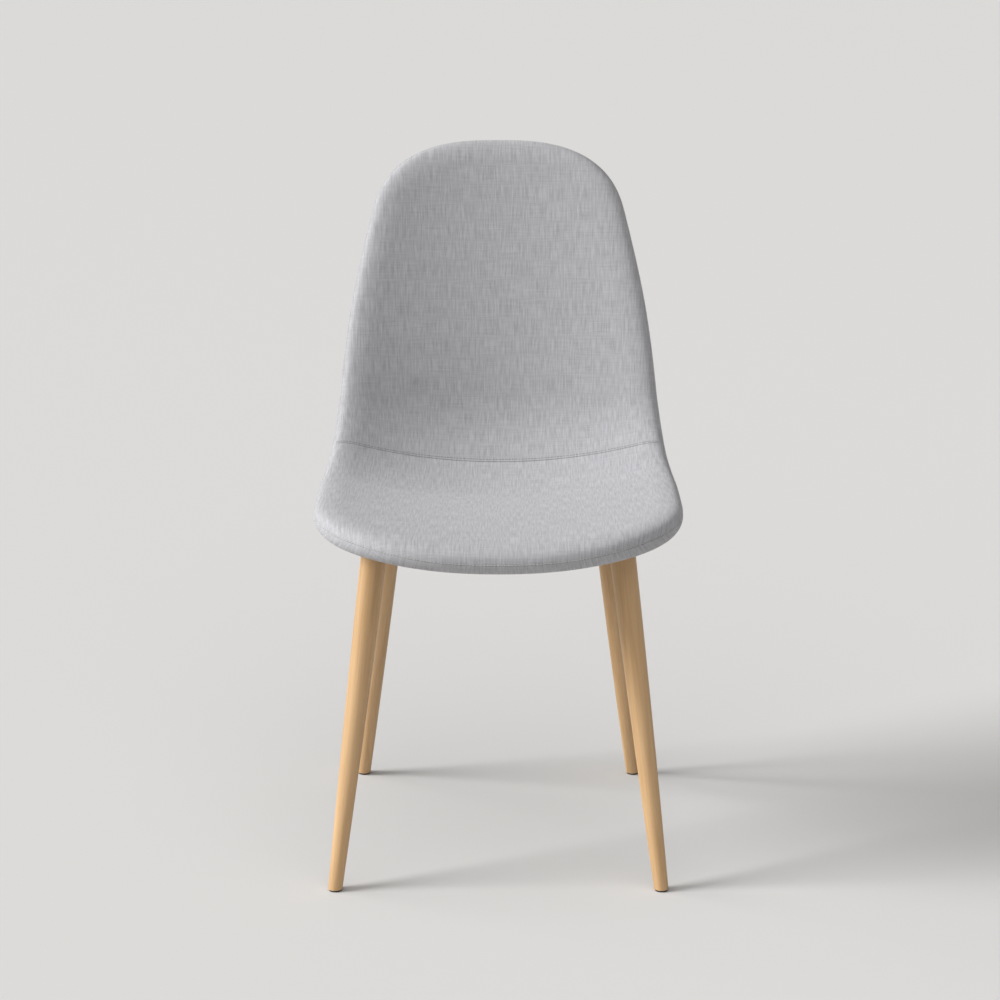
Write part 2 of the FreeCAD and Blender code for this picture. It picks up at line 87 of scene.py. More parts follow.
SEAM_LEVEL = 0.5 * MM
LEG_END = 4 * MM
FACE_BAND = 0.5 * MM
BOLT_HEAD = 4 * MM
BOLT_SHANK = 3 * MM
BOLT_EDGE = 0.5 * MM
BOLT_EDGE_RISE = 0.6 * MM
SOCKET_HALF = 2.5 * MM
SOCKET_DEPTH = 2.4 * MM
SPECK = 1e-5


def length(name, description, default):
    """A size that a user would change, in metres."""
    return FloatProperty(name=name, description=description, default=default, unit="LENGTH", precision=4)


def number(name, description, default):
    """A plain number that a user would change."""
    return FloatProperty(name=name, description=description, default=default)


def angle(name, description, degrees):
    """An angle that a user would change."""
    value = math.radians(degrees)
    return FloatProperty(name=name, description=description, default=value, subtype="ANGLE")


def tint(name, description, default):
    """A linear colour."""
    return FloatVectorProperty(
        name=name, description=description, default=default, size=3, min=0.0, max=1.0, subtype="COLOR"
    )


class ScoopSizes(bpy.types.PropertyGroup):
    """Shape of the padded scoop: side profile, outline, hollow and padding."""

    lip_height: length("Lip height", "Height of the shell at the front lip", 0.429)
    lip_angle: angle("Lip angle", "Rise of the profile at the front lip", 8.0)
    lip_radius: length("Lip radius", "Radius of the profile behind the lip", 0.180)
    seat_fall: angle("Seat fall", "Fall of the seat towards the back", 4.0)
    seat_run: length("Seat run", "Straight run of the seat", 0.2376)
    bend_radius: length("Bend radius", "Radius between seat and back", 0.158)
    back_recline: angle("Back recline", "Lean of the back from upright", 12.9)
    back_run: length("Back run", "Straight run of the back", 0.334)
    seat_width: length("Seat width", "Width over the rim of the seat", 0.451)
    waist_width: length("Waist width", "Width over the rim at the waist seam", 0.427)
    back_width: length("Back width", "Width over the rim in the middle of the back", 0.382)
    shoulder_width: length("Shoulder width", "Width at the top before it is rounded", 0.283)
    widest_at: length("Widest place", "Distance of the widest place from the lip", 0.267)
    lip_round: length("Lip rounding", "Run of the rounded front corners", 0.174)
    lip_power: number("Lip fullness", "Fullness of the front corners", 2.65)
    top_round: length("Top rounding", "Run of the rounded top corners", 0.098)
    top_power: number("Top fullness", "Fullness of the top corners", 2.69)
    seat_hollow: length("Seat hollow", "Radius across the front of the seat", 1.062)
    waist_hollow: length("Waist hollow", "Radius across the waist", 0.458)
    back_hollow: length("Back hollow", "Radius across the middle of the back", 0.519)
    top_hollow: length("Top hollow", "Radius across the top", 0.608)
    front_roll: length("Front roll", "Radius of the padded edge in front", 0.018)
    rear_roll: length("Rear roll", "Radius of the covered edge behind", 0.016)
    lip_pad: length("Lip padding", "Padding at the front lip", 0.020)
    seat_crown: length("Seat crown", "Padding in the middle of the seat", 0.026)
    waist_pad: length("Waist padding", "Padding at the waist seam", 0.023)
    back_crown: length("Back crown", "Padding in the middle of the back", 0.023)
    top_pad: length("Top padding", "Padding at the top", 0.018)
    seam_angle: angle("Seam angle", "Slope of the profile at the waist seam", 38.6)
    seam_dip: length("Seam dip", "How far the waist seam is drawn in", 0.0015)
    seam_reach: length("Seam reach", "How far the dip reaches from the seam", 0.022)


class ClothSizes(bpy.types.PropertyGroup):
    """Mesh, seams and swelling of the cloth."""

    cell: length("Cell", "Spacing of the front panels' grid", 0.0052)
    outer_cell: length("Outer cell", "Spacing of the outer panel's grid", 0.0070)
    fold: length("Fold", "Radius of the folded edge at the waist seam", 0.0009)
    tuck: length("Tuck", "How far the cloth is tucked into the rim seam", 0.0014)
    swell: length("Swell", "How far the pads are left to swell", 0.0020)
    pressure: number("Pressure", "Pressure that fills the pads", 4.0)
    cap: length("Cap", "Farthest that the filling may move the cloth", 0.0035)
    soften: length("Soften", "Spread over which the shoulder of the rolled edge is evened", 0.0097)
    evening: IntProperty(name="Evening", description="Rounds that even out the filling", default=60)
    frames: IntProperty(name="Frames", description="Frames of the cloth simulation", default=20)
    gather_reach: length("Gather reach", "How far the gathers reach back from the lip", 0.060)
    stitch_pitch: length("Stitch pitch", "Distance from stitch to stitch", 0.0042)
    stitch_length: length("Stitch length", "Length of one stitch", 0.0034)
    thread: length("Thread", "Thickness of the top stitching's thread", 0.0008)
    rim_thread: length("Rim thread", "Thickness of the rim seam's thread", 0.0010)
    topstitch: length("Topstitch distance", "Distance of the top stitching from the waist seam", 0.0034)


class Finishes(bpy.types.PropertyGroup):
    """Colours of the chair."""

    cloth: tint("Cloth", "Light yarn of the cover", (0.452, 0.450, 0.468))
    cloth_dark: tint("Cloth shade", "Dark yarn of the cover", (0.320, 0.318, 0.331))
    rim_thread: tint("Rim thread", "Thread of the rim seam", (0.560, 0.555, 0.548))
    waist_thread: tint("Waist thread", "Thread of the waist's top stitching", (0.225, 0.223, 0.230))
    wood: tint("Wood", "Light wood of the legs", (0.610, 0.394, 0.203))
    wood_dark: tint("Wood grain", "Dark streaks of the legs", (0.465, 0.277, 0.122))
    glide: tint("Glide", "Glides under the legs", (0.030, 0.021, 0.016))


class StageSizes(bpy.types.PropertyGroup):
    """Camera, floor and light."""

    camera_distance: length("Camera distance", "Distance of the camera in front of the chair", 3.598)
    camera_height: length("Camera height", "Height of the camera over the floor", 1.386)
    camera_pitch: angle("Camera pitch", "How far the camera looks down", 14.725)
    focal: number("Focal length", "Focal length in mm on 36 mm", 105.94)
    shift: number("Shift", "Sideways shift of the picture", 0.0017)
    floor: tint("Floor", "Floor", (0.620, 0.612, 0.600))
    key: number("Key light", "Strength of the light from the left", 3.3)
    top: number("Top light", "Strength of the light from above", 1.0)
    side: number("Side light", "Strength of the light from behind on the left", 0.8)
    sky: number("Sky", "Strength of the light from all round", 0.25)


def through(knots, at):
    """Smooth curve through (place, value) knots, at an array of places."""
    places = np.array([knot[0] for knot in knots])
    values = np.array([knot[1] for knot in knots])
    last = len(knots) - 1
    before = np.maximum(np.arange(last + 1) - 1, 0)
    after = np.minimum(np.arange(last + 1) + 1, last)
    slopes = (values[after] - values[before]) / (places[after] - places[before])
    index = np.clip(np.searchsorted(places, at, side="left") - 1, 0, last - 1)
    span = places[index + 1] - places[index]
    t = (at - places[index]) / span
    return (
        (2 * t**3 - 3 * t**2 + 1) * values[index]
        + (t**3 - 2 * t**2 + t) * span * slopes[index]
        + (3 * t**2 - 2 * t**3) * values[index + 1]
        + (t**3 - t**2) * span * slopes[index + 1]
    )


class Scoop:
    """The shell's upper face as a map from (across, along) on the flat to the chair, both in metres."""

    def __init__(self, sizes):
        self.sizes = sizes
        rise = math.pi / 2 - sizes.back_recline
        self.stretches = [
            (sizes.lip_radius * (sizes.lip_angle + sizes.seat_fall), sizes.lip_angle, -sizes.seat_fall),
            (sizes.seat_run, -sizes.seat_fall, -sizes.seat_fall),
            (sizes.bend_radius * (rise + sizes.seat_fall), -sizes.seat_fall, rise),
            (sizes.back_run, rise, rise),
        ]
        self.end = sum(stretch[0] for stretch in self.stretches)
        bend_start = self.stretches[0][0] + sizes.seat_run
        self.seam = bend_start + sizes.bend_radius * (sizes.seam_angle + sizes.seat_fall)
        middle = (self.seam + self.end) / 2
        self.widths = [
            (0.0, sizes.seat_width / 2),
            (sizes.widest_at, sizes.seat_width / 2),
            (self.seam, sizes.waist_width / 2),
            (middle, sizes.back_width / 2),
            (self.end, sizes.shoulder_width / 2),
        ]
        self.hollows = [
            (0.0, sizes.seat_hollow),
            (self.seam, sizes.waist_hollow),
            (middle, sizes.back_hollow),
            (self.end, sizes.top_hollow),
        ]
        self.crowns = [
            (0.0, sizes.lip_pad),
            (bend_start / 2, sizes.seat_crown),
            (self.seam, sizes.waist_pad),
            (middle, sizes.back_crown),
            (self.end, sizes.top_pad),
        ]
        front_reach = sizes.front_roll * (1 - math.cos(sizes.lip_angle))
        rear_reach = sizes.rear_roll * (1 - math.sin(sizes.back_recline))
        depth = front_reach + float(self.along(np.array([self.end]))[0][0]) + rear_reach
        self.lip_y = front_reach - depth / 2

    def along(self, at):
        """Run, rise and slope of the side profile."""
        y = np.zeros_like(at)
        z = np.zeros_like(at)
        slope = np.full_like(at, self.sizes.lip_angle)
        rest = at.copy()
        for run, first, last in self.stretches:
            here = np.clip(rest, 0, run)
            turned = first + (last - first) * here / run
            if first == last:
                y += here * math.cos(first)
                z += here * math.sin(first)
            else:
                radius = run / (last - first)
                y += radius * (np.sin(turned) - math.sin(first))
                z += radius * (math.cos(first) - np.cos(turned))
            slope = np.where(rest > 0, turned, slope)
            rest = rest - here
        return y, z, slope

    def hollow(self, at):
        """Radius across the scoop."""
        return through(self.hollows, at)

    def full_reach(self, at):
        """Half the width on the flat before lip and top are rounded."""
        radius = self.hollow(at)
        return radius * np.arcsin(through(self.widths, at) / radius)

    def padding(self, flats):
        """Thickness of the front padding away from its rolled edges."""
        sizes = self.sizes
        at = flats[..., 1]
        pull = np.maximum(0, 1 - np.abs(at - self.seam) / sizes.seam_reach) ** 2
        crown = through(self.crowns, at) - sizes.seam_dip * pull
        lift = 1 - np.clip(flats[..., 0] / self.full_reach(at), -1, 1) ** 2
        return sizes.front_roll + (crown - sizes.front_roll) * lift

    def place(self, flats, height):
        """Points of the chair at a height over flat places on the shell's upper face."""
        y, z, slope = self.along(flats[..., 1])
        radius = self.hollow(flats[..., 1])
        reach = radius - height
        theta = flats[..., 0] / radius
        lift = radius - reach * np.cos(theta)
        return np.stack(
            [
                reach * np.sin(theta),
                self.lip_y + y - lift * np.sin(slope),
                self.sizes.lip_height + z + lift * np.cos(slope),
            ],
            axis=-1,
        )

    def rim(self, samples=4000):
        """Right half of the outline on the flat, from the middle of the lip to the middle of the top."""
        sizes = self.sizes
        turn = np.linspace(math.pi / 2, 0, samples // 4)
        lip_at = sizes.lip_round * (1 - np.sin(turn) ** (2 / sizes.lip_power))
        lip_share = np.cos(turn) ** (2 / sizes.lip_power)
        side_at = np.linspace(sizes.lip_round, self.end - sizes.top_round, samples // 2)[1:-1]
        top_at = self.end - sizes.top_round * (1 - np.sin(turn[::-1]) ** (2 / sizes.top_power))
        top_share = np.cos(turn[::-1]) ** (2 / sizes.top_power)
        at = np.concatenate([lip_at, side_at, top_at])
        width = np.concatenate([lip_share, np.ones_like(side_at), top_share])
        return np.stack([self.full_reach(at) * width, at], axis=-1)


def lengths(points):
    """Distance of each point along a line of points."""
    steps = np.linalg.norm(np.diff(points, axis=0), axis=1)
    return np.concatenate([[0.0], np.cumsum(steps)])


def resample(points, places):
    """Points at given distances along a line of points."""
    run = lengths(points)
    return np.stack([np.interp(places, run, points[:, axis]) for axis in (0, 1)], axis=-1)


def inward(points, closed):
    """Unit normals of an outline of flat points that runs with its inside on the left hand."""
    if closed:
        tangents = np.roll(points, -1, axis=0) - np.roll(points, 1, axis=0)
    else:
        tangents = np.gradient(points, axis=0)
    tangents = tangents / np.linalg.norm(tangents, axis=1)[:, None]
    return np.stack([-tangents[:, 1], tangents[:, 0]], axis=-1)


def patch(left, front, right, rear, shares):
    """Grid between four flat lines, of which left and right start at the rear."""
    across = np.linspace(0, 1, len(front))[None, :, None]
    along = shares[:, None, None]
    ruled = (1 - across) * left[:, None] + across * right[:, None]
    lofted = (1 - along) * rear[None] + along * front[None]
    corners = (
        (1 - along) * ((1 - across) * rear[0] + across * rear[-1])
        + along * ((1 - across) * front[0] + across * front[-1])
    )
    return ruled + lofted - corners


def corner_of(rim):
    """Distance along a rounded end, from its middle, where it has turned by half a right angle."""
    tangents = np.abs(np.gradient(rim, axis=0))
    return lengths(rim)[int(np.argmax(tangents[:, 1] > tangents[:, 0]))]


class Mesher:
    """Collects vertices, their flat places and faces of one closed panel."""

    def __init__(self):
        self.points = []
        self.flats = []
        self.held = []
        self.gathers = []
        self.faces = []
        self.count = 0

    def add(self, points, flats, held, gathers=0.0):
        """Adds a block of vertices and returns their numbers in the block's shape."""
        shape = points.shape[:-1]
        size = int(np.prod(shape))
        self.points.append(points.reshape(-1, 3))
        self.flats.append(flats.reshape(-1, 2))
        self.held.append(np.broadcast_to(held, shape).reshape(-1))
        self.gathers.append(np.broadcast_to(gathers, shape).reshape(-1))
        numbers = np.arange(self.count, self.count + size).reshape(shape)
        self.count += size
        return numbers

    def join(self, numbers):
        """Faces over a block of vertex numbers; a corner that is named twice is named once."""
        corners = [numbers[:-1, :-1], numbers[:-1, 1:], numbers[1:, 1:], numbers[1:, :-1]]
        quads = np.stack([corner.reshape(-1) for corner in corners], axis=-1)
        for quad in quads.tolist():
            face = list(dict.fromkeys(quad))
            if len(face) > 2:
                self.faces.append(face)

    def finish(self, name):
        """Makes the object, with the flat places as its UV map in metres and held vertices as a group."""
        flats = np.concatenate(self.flats)
        mesh = bpy.data.meshes.new(name)
        mesh.from_pydata(np.concatenate(self.points).tolist(), [], self.faces)
        corners = np.empty(len(mesh.loops), dtype=np.int32)
        mesh.loops.foreach_get("vertex_index", corners)
        mesh.uv_layers.new(name="cloth").data.foreach_set("uv", flats[corners].reshape(-1))
        gathers = mesh.attributes.new("gathers", "FLOAT", "POINT")
        gathers.data.foreach_set("value", np.concatenate(self.gathers).astype(np.float32))
        mesh.shade_smooth()
        piece = bpy.data.objects.new(name, mesh)
        bpy.context.scene.collection.objects.link(piece)
        group = piece.vertex_groups.new(name="held")
        for number, weight in enumerate(np.concatenate(self.held).tolist()):
            group.add([number], weight, "REPLACE")
        form = bmesh.new()
        form.from_mesh(mesh)
        loose = [vertex for vertex in form.verts if not vertex.link_faces]
        bmesh.ops.delete(form, geom=loose, context="VERTS")
        bmesh.ops.recalc_face_normals(form, faces=form.faces)
        form.to_mesh(mesh)
        form.free()
        return piece


def seam_places(total, cell):
    """Distances from the waist seam along a side, close together at the seam's fold."""
    count = max(2, round((total - SEAM_ROWS[-1]) / cell))
    return np.concatenate([SEAM_ROWS, np.linspace(SEAM_ROWS[-1], total, count + 1)[1:]])


def base_depths(first, last, count):
    """Depths of the base's rings, from the tucked rim to the edge of the grid."""
    return first + (last - first) * np.arange(1, count) / count


def unrolled(points, inside, inner):
    """Flat places of a rolled edge's cloth, laid out beyond the last row, where the roll ends."""
    steps = np.linalg.norm(np.diff(points, axis=0), axis=-1)
    beyond = np.cumsum(steps[::-1], axis=0)[::-1]
    return inside[None] - inner[None] * beyond[..., None]


def rim_distance(half, flats):
    """Distance of flat places from the rim, of which the right half is given."""
    places = np.abs(flats.reshape(-1, 2)) * [1, 0] + flats.reshape(-1, 2) * [0, 1]
    near = [np.min(np.linalg.norm(half - place, axis=1)) for place in places]
    return np.array(near).reshape(flats.shape[:-1])


def held_at(turn):
    """How firmly cloth is held at a turn of its rolled edge: fully at the rim, not at the shoulder."""
    return np.clip(1.6 - turn / HELD_TURN, 0, 1)


def softened(roll, spread):
    """Share of a pad's height that its softened shoulder lacks, at depths in from the rim."""
    depths = np.arange(0, 5 * roll, PROFILE_STEP)
    turn = np.arccos(np.clip(1 - depths / roll, 0, 1))
    free = (1 - held_at(turn))[1:-1]
    soft = np.sin(turn)
    for _ in range(round(2 * (spread / PROFILE_STEP) ** 2)):
        soft[1:-1] += 0.25 * free * (soft[2:] - 2 * soft[1:-1] + soft[:-2])
    return depths, np.sin(turn) - soft


def gathered(flats, reach):
    """How strongly cloth is gathered: fully at the lip and less and less behind it."""
    return np.clip(GATHERED - flats[..., 1] / reach, 0, 1)


def moved_in(rim, inner, depths):
    """Rows of flat places, each the rim moved inward by one depth."""
    return rim[None] + inner[None] * np.asarray(depths)[:, None, None]


def corner_size(along, across):
    """Size of the square with rounded corners that goes through a place."""
    return (np.abs(along) ** CORNER_POWER + np.abs(across) ** CORNER_POWER) ** (1 / CORNER_POWER)


def roll_rows(rim, inner, roll, tuck):
    """Flat places under a rolled edge's rows: two tucked in at the rim, the others round the roll."""
    depths = [tuck, tuck * TUCKED_SHARE, *(roll * (1 - np.cos(ROLL_STEPS)))]
    return moved_in(rim, inner, depths)


def front_panel(scoop, cloth, name, upper):
    """Closed pad of the seat or, if upper is set, of the back: crown, rolled rim, folded waist seam."""
    sizes = scoop.sizes
    roll = sizes.front_roll
    half = scoop.rim()
    sparse = half[::max(1, len(half) // 600)]
    depths, lost = softened(roll, cloth.soften)
    seam_at = scoop.seam + (SEAM_GAP if upper else -SEAM_GAP)
    own = half[half[:, 1] > seam_at][::-1] if upper else half[half[:, 1] < seam_at]
    seam_end = [float(scoop.full_reach(np.array([seam_at]))[0]), seam_at]
    own = np.concatenate([own, [seam_end]])
    run = lengths(own)
    corner = corner_of(own)
    places = run[-1] - seam_places(run[-1] - corner, cloth.cell)
    shares = (run[-1] - places) / (run[-1] - corner)
    right = resample(own, places)
    end_half = resample(own, np.linspace(0, corner, round(corner / cloth.cell) + 1))
    end = np.concatenate([end_half[::-1] * MIRROR, end_half[1:]])
    rim = np.concatenate([right * MIRROR, end[1:-1], right[::-1]])
    near_seam = np.clip(1 - np.abs(rim[:, 1] - seam_at) / sizes.seam_reach, 0, 1)[:, None]
    level = np.stack([-np.sign(rim[:, 0]), np.zeros(len(rim))], axis=-1)
    inner = inward(rim, False) * (-1 if upper else 1) * (1 - near_seam) + level * near_seam
    inner /= np.linalg.norm(inner, axis=1)[:, None]

    def height(flat, turn=math.pi / 2):
        """Height of the cloth at a turn of its rolled edge, folded down at the waist seam."""
        full = scoop.padding(flat) - cloth.swell * math.sin(turn) ** 4
        rolled = full * (math.sin(turn) - np.interp(rim_distance(sparse, flat), depths, lost))
        away = np.clip(np.abs(flat[..., 1] - seam_at) / cloth.fold, 0, 1)
        fold = np.minimum(cloth.fold, 0.6 * rolled)
        return rolled - fold * (1 - np.sqrt(1 - (1 - away) ** 2))

    mesher = Mesher()
    flats = roll_rows(rim, inner, roll, cloth.tuck)
    tucked = np.full((2, len(rim)), RIM_GAP)
    heights = [height(flat, turn) for flat, turn in zip(flats[2:], ROLL_STEPS)]
    points = scoop.place(flats, np.concatenate([tucked, heights]))
    held = np.concatenate([[1.0, 1.0], held_at(ROLL_STEPS)])
    held = np.maximum(held[:, None], near_seam[:, 0][None] ** 2)
    shown = np.array([*GATHER_START, *([1] * (len(flats) - len(GATHER_START)))])
    gathers = gathered(rim, cloth.gather_reach) * shown[:, None]
    inside = rim + inner * roll
    shoulder = scoop.place(inside, height(inside))
    laid = unrolled(np.concatenate([points, shoulder[None]]), inside, inner)
    band = mesher.add(points, laid, held, gathers)

    rows = len(places)
    left = inside[:rows]
    right = inside[::-1][:rows]
    end = inside[rows - 1:len(inside) - rows + 1]
    seam_line = np.linspace(left[0], right[0], len(end))
    grid = patch(left, end, right, seam_line, shares)
    held = np.clip(1.2 - np.abs(grid[..., 1] - seam_at) / SEAM_HOLD, 0, 1)
    gathers = gathered(grid, cloth.gather_reach)
    top = mesher.add(scoop.place(grid, height(grid)), grid, held, gathers)
    mesher.join(top)
    mesher.join(np.concatenate([band, border(top)[None]]))

    flats = moved_in(rim, inner, base_depths(cloth.tuck, roll, len(band)))
    low = np.concatenate([band[:1], mesher.add(scoop.place(flats, BASE_HEIGHT), flats, 1.0)])
    base = mesher.add(scoop.place(grid, BASE_HEIGHT), grid, 1.0)
    mesher.join(base)
    mesher.join(np.concatenate([low, border(base)[None]]))

    upper_edge = np.concatenate([band[:, 0], top[0], band[::-1, -1]])
    lower_edge = np.concatenate([low[:, 0], base[0], low[::-1, -1]])
    all_points = np.concatenate(mesher.points)
    all_flats = np.concatenate(mesher.flats)
    rows = [upper_edge]
    for step in WALL_STEPS:
        mixed = all_points[lower_edge] * (1 - step) + all_points[upper_edge] * step
        numbers = mesher.add(mixed, all_flats[upper_edge], 1.0)
        rows.append(np.where(upper_edge == lower_edge, upper_edge, numbers))
    rows.append(lower_edge)
    mesher.join(np.stack(rows))
    return mesher.finish(name)


def border(grid):
    """Numbers round three sides of a grid: down its left side, along its far end, up its right side."""
    return np.concatenate([grid[:, 0], grid[-1, 1:-1], grid[::-1, -1]])


def outer_panel(scoop, cloth, name):
    """Closed panel of cover and wadding behind the back and under the seat, rolled over the rim."""
    sizes = scoop.sizes
    half = scoop.rim()
    total = lengths(half)[-1]
    low_corner = corner_of(half)
    high_corner = total - corner_of(half[::-1])
    count = round(low_corner / cloth.outer_cell) + 1
    rows = round((high_corner - low_corner) / cloth.outer_cell) + 1
    right = resample(half, np.linspace(high_corner, low_corner, rows))
    lip_half = resample(half, np.linspace(0, low_corner, count))
    top_half = resample(half, np.linspace(total, high_corner, count))
    lip = np.concatenate([lip_half[::-1] * MIRROR, lip_half[1:]])
    top = np.concatenate([top_half[::-1] * MIRROR, top_half[1:]])
    rim = np.concatenate([right * MIRROR, lip[1:-1], right[::-1], top[::-1][1:-1]])
    inner = inward(rim, True)
    roll = sizes.rear_roll

    mesher = Mesher()
    flats = roll_rows(rim, inner, roll, cloth.tuck)
    heights = np.concatenate([[-RIM_GAP, -RIM_GAP], -roll * np.sin(ROLL_STEPS)])
    points = scoop.place(flats, heights[:, None])
    inside = rim + inner * roll
    shoulder = scoop.place(inside, -roll)
    laid = unrolled(np.concatenate([points, shoulder[None]]), inside, inner)
    band = mesher.add(points, laid, 1.0)
    corner = rows + len(lip) - 2
    left = inside[:rows]
    end = inside[rows - 1:corner + 1]
    right = inside[corner:corner + rows][::-1]
    start = np.concatenate([left[:1], inside[corner + rows:][::-1], right[:1]])
    grid = patch(left, end, right, start, np.linspace(0, 1, rows))
    outside = mesher.add(scoop.place(grid, -roll), grid, 0.0)
    depths = base_depths(cloth.tuck, roll, len(band))
    flats = moved_in(rim, inner, depths)
    cover = -roll * np.sqrt(1 - (1 - depths / roll) ** 2)
    wadding = WADDING_THICKNESS * np.clip((depths - WADDING_START) / WADDING_RISE, 0, 1)
    heights = cover + COVER_THICKNESS + wadding
    low = np.concatenate([band[:1], mesher.add(scoop.place(flats, heights[:, None]), flats, 1.0)])
    inside = mesher.add(scoop.place(grid, COVER_THICKNESS + WADDING_THICKNESS - roll), grid, 1.0)
    for sheet, rings in ((outside, band), (inside, low)):
        mesher.join(sheet)
        around = np.concatenate([border(sheet), sheet[0, ::-1][1:-1]])
        rings = np.concatenate([rings, around[None]])
        mesher.join(np.concatenate([rings, rings[:, :1]], axis=1))
    return mesher.finish(name)


def settle(piece, cloth):
    """Fills a pad by a short cloth simulation, held at rim and seam, its movement evened and capped."""
    count = len(piece.data.vertices)
    before = np.empty(count * 3)
    piece.data.vertices.foreach_get("co", before)
    scene = bpy.context.scene
    modifier = piece.modifiers.new("filling", "CLOTH")
    settings = modifier.settings
    settings.quality = 6
    settings.mass = 0.3
    settings.tension_stiffness = 20
    settings.compression_stiffness = 20
    settings.shear_stiffness = 8
    settings.bending_stiffness = 2
    settings.use_pressure = True
    settings.uniform_pressure_force = cloth.pressure
    settings.vertex_group_mass = "held"
    settings.effector_weights.gravity = 0
    modifier.collision_settings.use_collision = False
    modifier.point_cache.frame_start = 1
    modifier.point_cache.frame_end = cloth.frames
    for number in range(1, cloth.frames + 1):
        scene.frame_set(number)
    shaped = piece.evaluated_get(bpy.context.evaluated_depsgraph_get()).to_mesh()
    after = np.empty(count * 3)
    shaped.vertices.foreach_get("co", after)
    piece.modifiers.remove(modifier)
    scene.frame_set(1)
    move = (after - before).reshape(-1, 3)
    edges = np.array([edge.vertices[:] for edge in piece.data.edges])
    weights = np.array([vertex.groups[0].weight for vertex in piece.data.vertices])
    for _ in range(cloth.evening):
        total = np.zeros_like(move)
        near = np.zeros(count)
        for first, second in ((0, 1), (1, 0)):
            np.add.at(total, edges[:, first], move[edges[:, second]])
            np.add.at(near, edges[:, first], 1)
        move = (0.5 * move + 0.5 * total / near[:, None]) * (1 - weights)[:, None]
    far = float(np.linalg.norm(move, axis=1).max())
    move *= min(1, cloth.cap / far)
    piece.data.vertices.foreach_set("co", before + move.reshape(-1))
    piece.data.update()


def smooth(piece):
    """One level of subdivision, applied."""
    modifier = piece.modifiers.new("smooth", "SUBSURF")
    modifier.levels = 1
    modifier.render_levels = 1
    evaluated = piece.evaluated_get(bpy.context.evaluated_depsgraph_get())
    mesh = bpy.data.meshes.new_from_object(evaluated)
    piece.modifiers.remove(modifier)
    old = piece.data
    piece.data = mesh
    bpy.data.meshes.remove(old)
    mesh.name = piece.name
    mesh.shade_smooth()
    piece.vertex_groups.clear()


def row_tree():
    """Geometry Nodes tree that lays rounded threads, staples or weld ripples in a row along a path."""
    tree = bpy.data.node_groups.new("row_along_path", "GeometryNodeTree")
    face = tree.interface
    face.new_socket("Path", in_out="INPUT", socket_type="NodeSocketGeometry")
    for name in ("Pitch", "Length", "Thickness"):
        face.new_socket(name, in_out="INPUT", socket_type="NodeSocketFloat")
    face.new_socket("Seed", in_out="INPUT", socket_type="NodeSocketInt")
    face.new_socket("Material", in_out="INPUT", socket_type="NodeSocketMaterial")
    face.new_socket("Pieces", in_out="OUTPUT", socket_type="NodeSocketGeometry")
    kinds = {
        "given": "NodeGroupInput",
        "spaced": "GeometryNodeResampleCurve",
        "bead": "GeometryNodeMeshUVSphere",
        "size": "ShaderNodeCombineXYZ",
        "shaped": "GeometryNodeTransform",
        "along": "GeometryNodeInputTangent",
        "turned": "FunctionNodeAlignRotationToVector",
        "varied": "FunctionNodeRandomValue",
        "placed": "GeometryNodeInstanceOnPoints",
        "real": "GeometryNodeRealizeInstances",
        "smoothed": "GeometryNodeSetShadeSmooth",
        "coated": "GeometryNodeSetMaterial",
        "result": "NodeGroupOutput",
    }
    nodes = {name: tree.nodes.new(kind) for name, kind in kinds.items()}
    nodes["spaced"].mode = "LENGTH"
    nodes["turned"].axis = "Z"
    nodes["varied"].data_type = "FLOAT"
    for name, socket, value in (
        ("bead", "Segments", 8),
        ("bead", "Rings", 5),
        ("bead", "Radius", 0.5),
        ("varied", 2, 0.9),
        ("varied", 3, 1.06),
    ):
        nodes[name].inputs[socket].default_value = value
    for source, output, target, socket in (
        ("given", "Path", "spaced", "Curve"),
        ("given", "Pitch", "spaced", "Length"),
        ("given", "Thickness", "size", "X"),
        ("given", "Thickness", "size", "Y"),
        ("given", "Length", "size", "Z"),
        ("bead", "Mesh", "shaped", "Geometry"),
        ("size", "Vector", "shaped", "Scale"),
        ("along", "Tangent", "turned", "Vector"),
        ("given", "Seed", "varied", "Seed"),
        ("spaced", "Curve", "placed", "Points"),
        ("shaped", "Geometry", "placed", "Instance"),
        ("turned", "Rotation", "placed", "Rotation"),
        ("varied", 1, "placed", "Scale"),
        ("placed", "Instances", "real", "Geometry"),
        ("real", "Geometry", "smoothed", "Geometry"),
        ("smoothed", "Geometry", "coated", "Geometry"),
        ("given", "Material", "coated", "Material"),
        ("coated", "Geometry", "result", "Pieces"),
    ):
        tree.links.new(nodes[source].outputs[output], nodes[target].inputs[socket])
    return tree


def row(name, paths, values, material):
    """Piece of threads, staples or ripples along paths, each some points and whether it is closed."""
    tree = bpy.data.node_groups.get("row_along_path") or row_tree()
    curve = bpy.data.curves.new(name + "_path", "CURVE")
    curve.dimensions = "3D"
    for points, closed in paths:
        spline = curve.splines.new("POLY")
        spline.points.add(len(points) - 1)
        for slot, point in zip(spline.points, points):
            slot.co = (*point, 1.0)
        spline.use_cyclic_u = closed
    line = bpy.data.objects.new(name + "_path", curve)
    bpy.context.scene.collection.objects.link(line)
    modifier = line.modifiers.new("row", "NODES")
    modifier.node_group = tree
    for item in tree.interface.items_tree:
        if item.in_out == "INPUT" and item.name in values:
            modifier[item.identifier] = values[item.name]
        if item.in_out == "INPUT" and item.name == "Material":
            modifier[item.identifier] = material
    evaluated = line.evaluated_get(bpy.context.evaluated_depsgraph_get())
    mesh = bpy.data.meshes.new_from_object(evaluated)
    mesh.name = name
    bpy.data.objects.remove(line)
    bpy.data.curves.remove(curve)
    piece = bpy.data.objects.new(name, mesh)
    bpy.context.scene.collection.objects.link(piece)
    return piece


